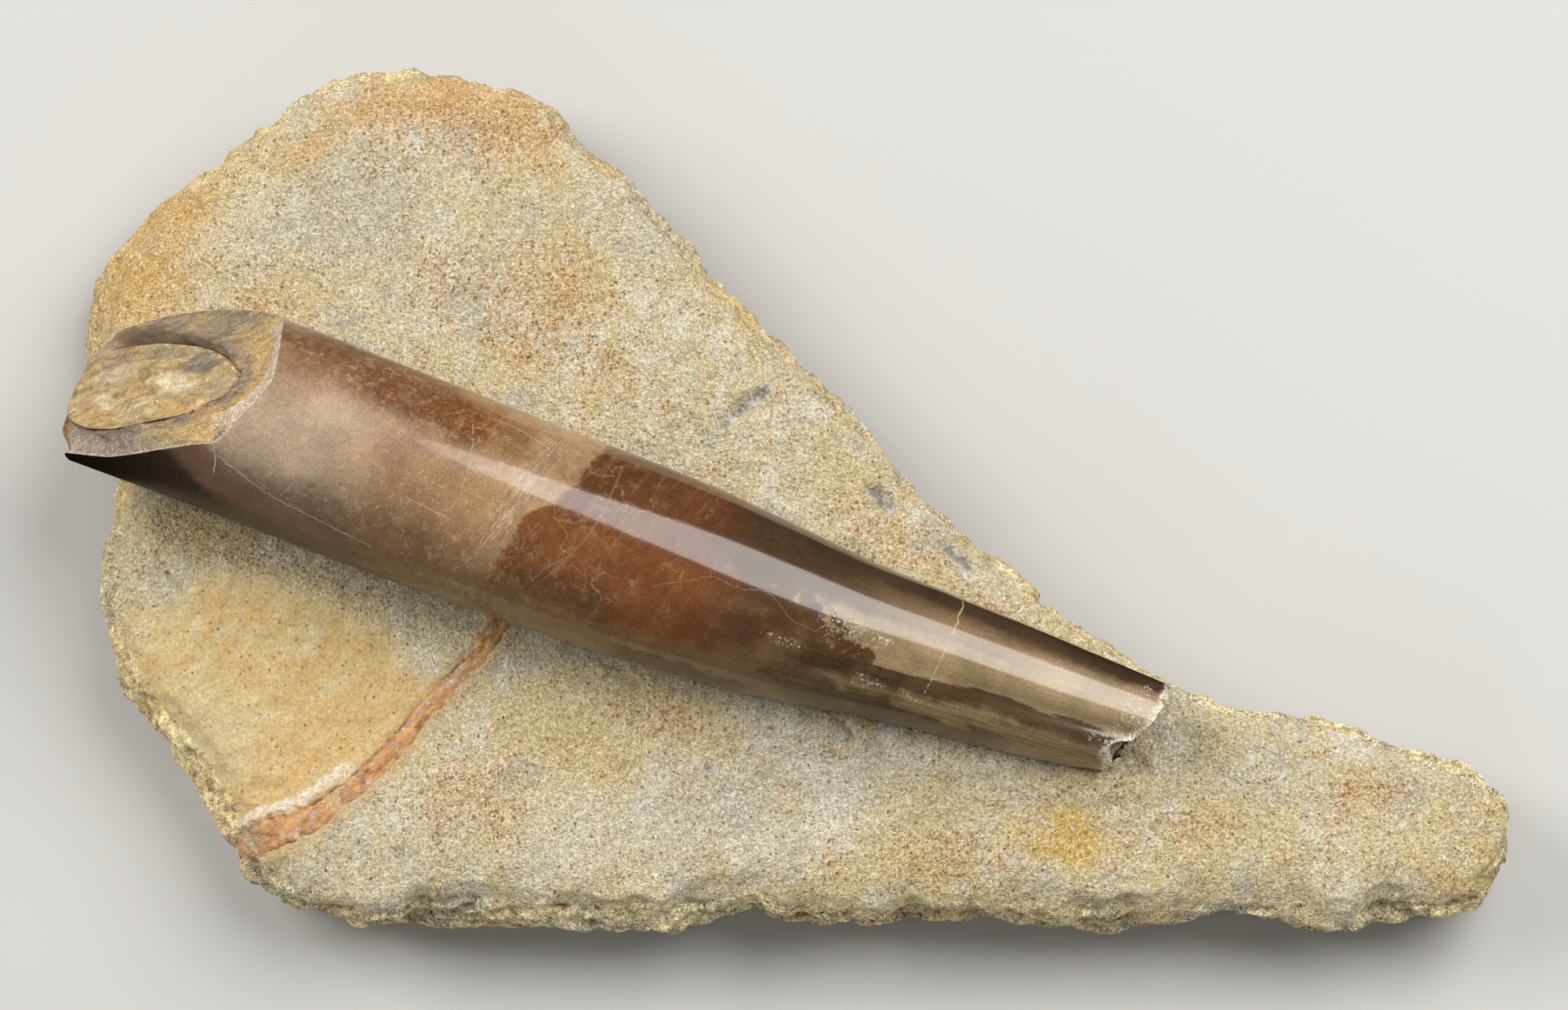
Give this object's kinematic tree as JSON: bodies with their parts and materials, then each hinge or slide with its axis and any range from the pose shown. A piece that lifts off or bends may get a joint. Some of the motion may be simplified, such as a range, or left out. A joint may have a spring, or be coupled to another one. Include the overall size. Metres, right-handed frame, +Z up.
{
  "type": "belemnite fossil",
  "caption": "Polished belemnite guard with its filled phragmocone bared at the broken wide end, lying in a free-standing slab of sandy limestone.",
  "frame": {"origin": "middle of the footprint, on the surface the slab rests on", "axes": "+X along the slab from its broad end to its narrow arm, +Y across it from the straight front edge to the back, +Z up"},
  "size_m": [0.2397, 0.1455, 0.0499],
  "materials": {
    "sandy_limestone": "matte",
    "polished_calcite": "polished",
    "phragmocone_fill": "satin",
    "stained_shell": "satin"
  },
  "bodies": {
    "root": {"matrix_slab": "sandy_limestone", "guard": "polished_calcite", "phragmocone": "phragmocone_fill", "shell_band": "stained_shell"}
  },
  "joints": []
}
